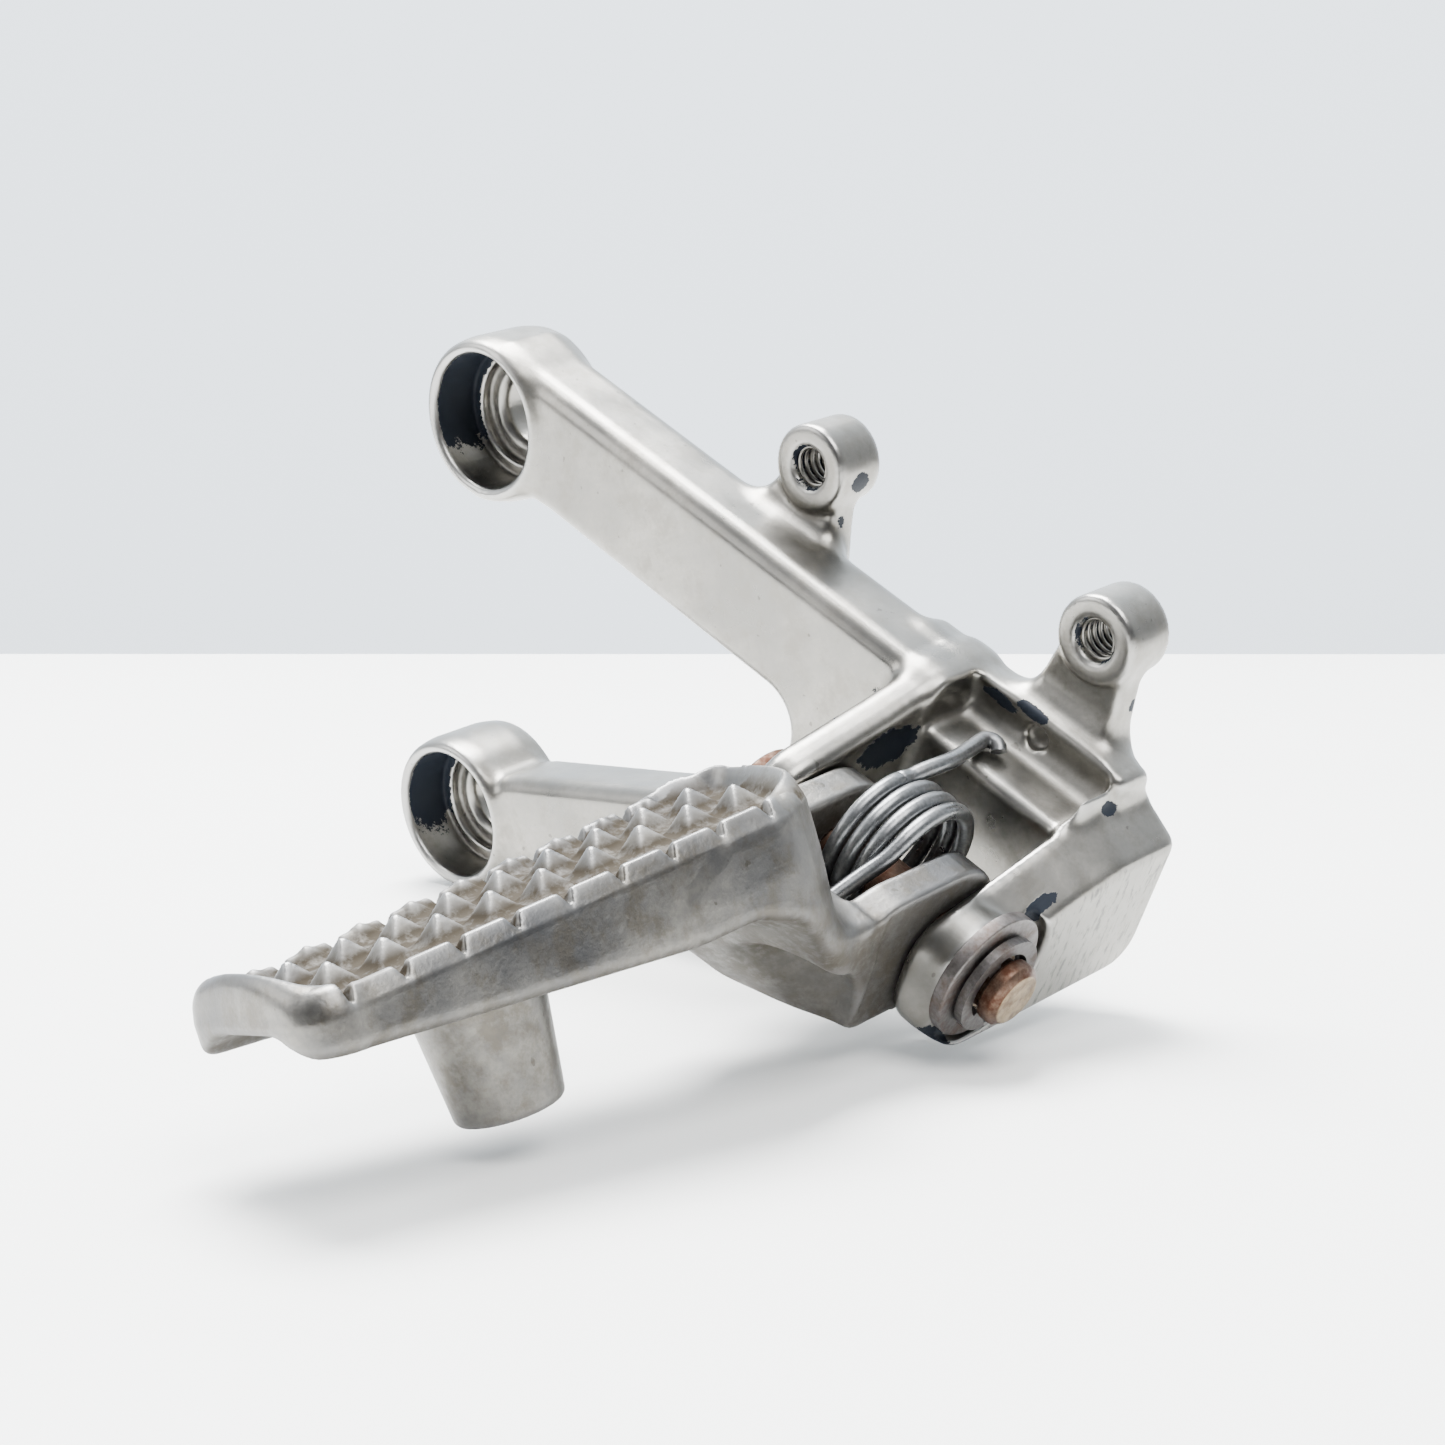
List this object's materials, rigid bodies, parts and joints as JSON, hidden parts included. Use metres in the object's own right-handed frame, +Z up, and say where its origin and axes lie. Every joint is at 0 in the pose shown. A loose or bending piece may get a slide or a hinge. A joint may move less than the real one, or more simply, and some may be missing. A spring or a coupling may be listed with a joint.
{
  "type": "motorcycle foot peg",
  "caption": "Folding rider's foot peg with a toothed deck, hinged on a pin in a two-armed cast bracket with guard tabs, held at its stop by a torsion spring",
  "frame": {"origin": "centre of the upper frame-bolt hole, on the bracket's mounting face", "axes": "as mounted on the left side: +X to the rear, +Y inward to the motorcycle, +Z up; the peg points outward along -Y"},
  "size_m": [0.1551, 0.1414, 0.1098],
  "materials": {
    "cast_aluminium": "cast, satin, worn",
    "peg_aluminium": "cast, worn, dirt in the recesses",
    "pin_steel": "yellowed and rusty",
    "spring_steel": "drawn wire, dark",
    "washer_steel": "worn, dull",
    "clip_steel": "dark, oiled"
  },
  "bodies": {
    "mount": {"bracket": "cast_aluminium", "pivot_pin": "pin_steel", "return_spring": "spring_steel", "washer": "washer_steel", "e_clip": "clip_steel"},
    "peg": {"foot_peg": "peg_aluminium"}
  },
  "joints": [
    {"name": "peg_fold", "type": "hinge", "parent": "mount", "child": "peg", "pos_m": [0.07948, -0.0346, -0.07361], "axis": [-0.766, 0, 0.6428], "range_deg": [0, 75], "stiffness_Nm_per_rad": 0.35, "springref_deg": -45.84, "deforming": ["return_spring"]}
  ]
}
